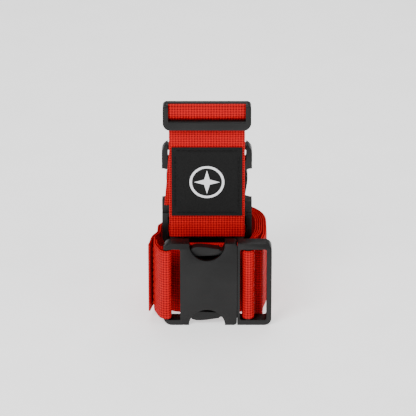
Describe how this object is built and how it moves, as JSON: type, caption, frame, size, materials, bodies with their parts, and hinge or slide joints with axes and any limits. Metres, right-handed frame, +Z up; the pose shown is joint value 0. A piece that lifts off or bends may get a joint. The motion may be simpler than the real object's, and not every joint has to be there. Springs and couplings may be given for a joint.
{
  "type": "luggage strap",
  "caption": "Pair of wide webbing luggage straps packed for storage: one rolled into an upright coil round its closed side-release buckle, one folded inside it with a label and slider.",
  "frame": {"origin": "on the resting surface, under the middle of the whole object", "axes": "+X to the right along the front buckle, +Y to the back, +Z up along the folded strap"},
  "size_m": [0.0822, 0.0936, 0.1536],
  "materials": {
    "webbing": "woven, slight sheen",
    "thread": "bonded thread",
    "buckle": "fine moulded grain",
    "label": "matte coated",
    "label_thread": "matte thread",
    "emblem": "printed"
  },
  "bodies": {
    "coil": {"coil_webbing": "webbing", "coil_tail": "webbing", "tail_hem_stitching": "thread", "front_socket_loop": "webbing", "front_loop_stitching": "thread", "front_buckle_socket": "buckle"},
    "front_plug": {"front_buckle_plug": "buckle", "front_plug_loop": "webbing"},
    "prong_top": {"front_prong_top": "buckle"},
    "prong_bottom": {"front_prong_bottom": "buckle"},
    "bundle": {"label_layer": "webbing", "folded_layers": "webbing", "label_patch": "label", "label_stitching": "label_thread", "label_emblem": "emblem", "rear_buckle_socket": "buckle", "rear_socket_loop": "webbing", "flap_hem_stitching": "thread", "folded_stack": "webbing", "stack_lead_in": "webbing"},
    "rear_plug": {"rear_buckle_plug": "buckle", "rear_plug_loop": "webbing"},
    "prong_left": {"rear_prong_left": "buckle"},
    "prong_right": {"rear_prong_right": "buckle"},
    "slider": {"slider_frame": "buckle", "slider_loop": "webbing"}
  },
  "joints": [
    {"name": "front_plug_release", "type": "slide", "parent": "coil", "child": "front_plug", "axis": [1, 0, 0], "range_m": [0, 0.034]},
    {"name": "prong_top_squeeze", "type": "hinge", "parent": "front_plug", "child": "prong_top", "pos_m": [0.0171, -0.04028, 0.0527], "axis": [0, -1, 0], "range_deg": [0, 16]},
    {"name": "prong_bottom_squeeze", "type": "hinge", "parent": "front_plug", "child": "prong_bottom", "pos_m": [0.0171, -0.04028, 0.0073], "axis": [0, 1, 0], "range_deg": [0, 16]},
    {"name": "bundle_lift", "type": "slide", "parent": "coil", "child": "bundle", "axis": [0, 0, 1], "range_m": [0, 0.06]},
    {"name": "rear_plug_release", "type": "slide", "parent": "bundle", "child": "rear_plug", "axis": [0, 0, -1], "range_m": [0, 0.034]},
    {"name": "prong_left_squeeze", "type": "hinge", "parent": "rear_plug", "child": "prong_left", "pos_m": [-0.0246, -0.00978, 0.07], "axis": [0, 1, 0], "range_deg": [0, 16]},
    {"name": "prong_right_squeeze", "type": "hinge", "parent": "rear_plug", "child": "prong_right", "pos_m": [0.0208, -0.00978, 0.07], "axis": [0, -1, 0], "range_deg": [0, 16]},
    {"name": "slider_tilt", "type": "hinge", "parent": "bundle", "child": "slider", "pos_m": [-0.0019, -0.02501, 0.132], "axis": [1, 0, 0], "range_deg": [-30, 30]}
  ],
  "couplings": [
    {"joint": "prong_top_squeeze", "follows": "front_plug_release", "rad_per_m": 8.2133},
    {"joint": "prong_bottom_squeeze", "follows": "front_plug_release", "rad_per_m": 8.2133},
    {"joint": "prong_left_squeeze", "follows": "rear_plug_release", "rad_per_m": 8.2133},
    {"joint": "prong_right_squeeze", "follows": "rear_plug_release", "rad_per_m": 8.2133}
  ]
}
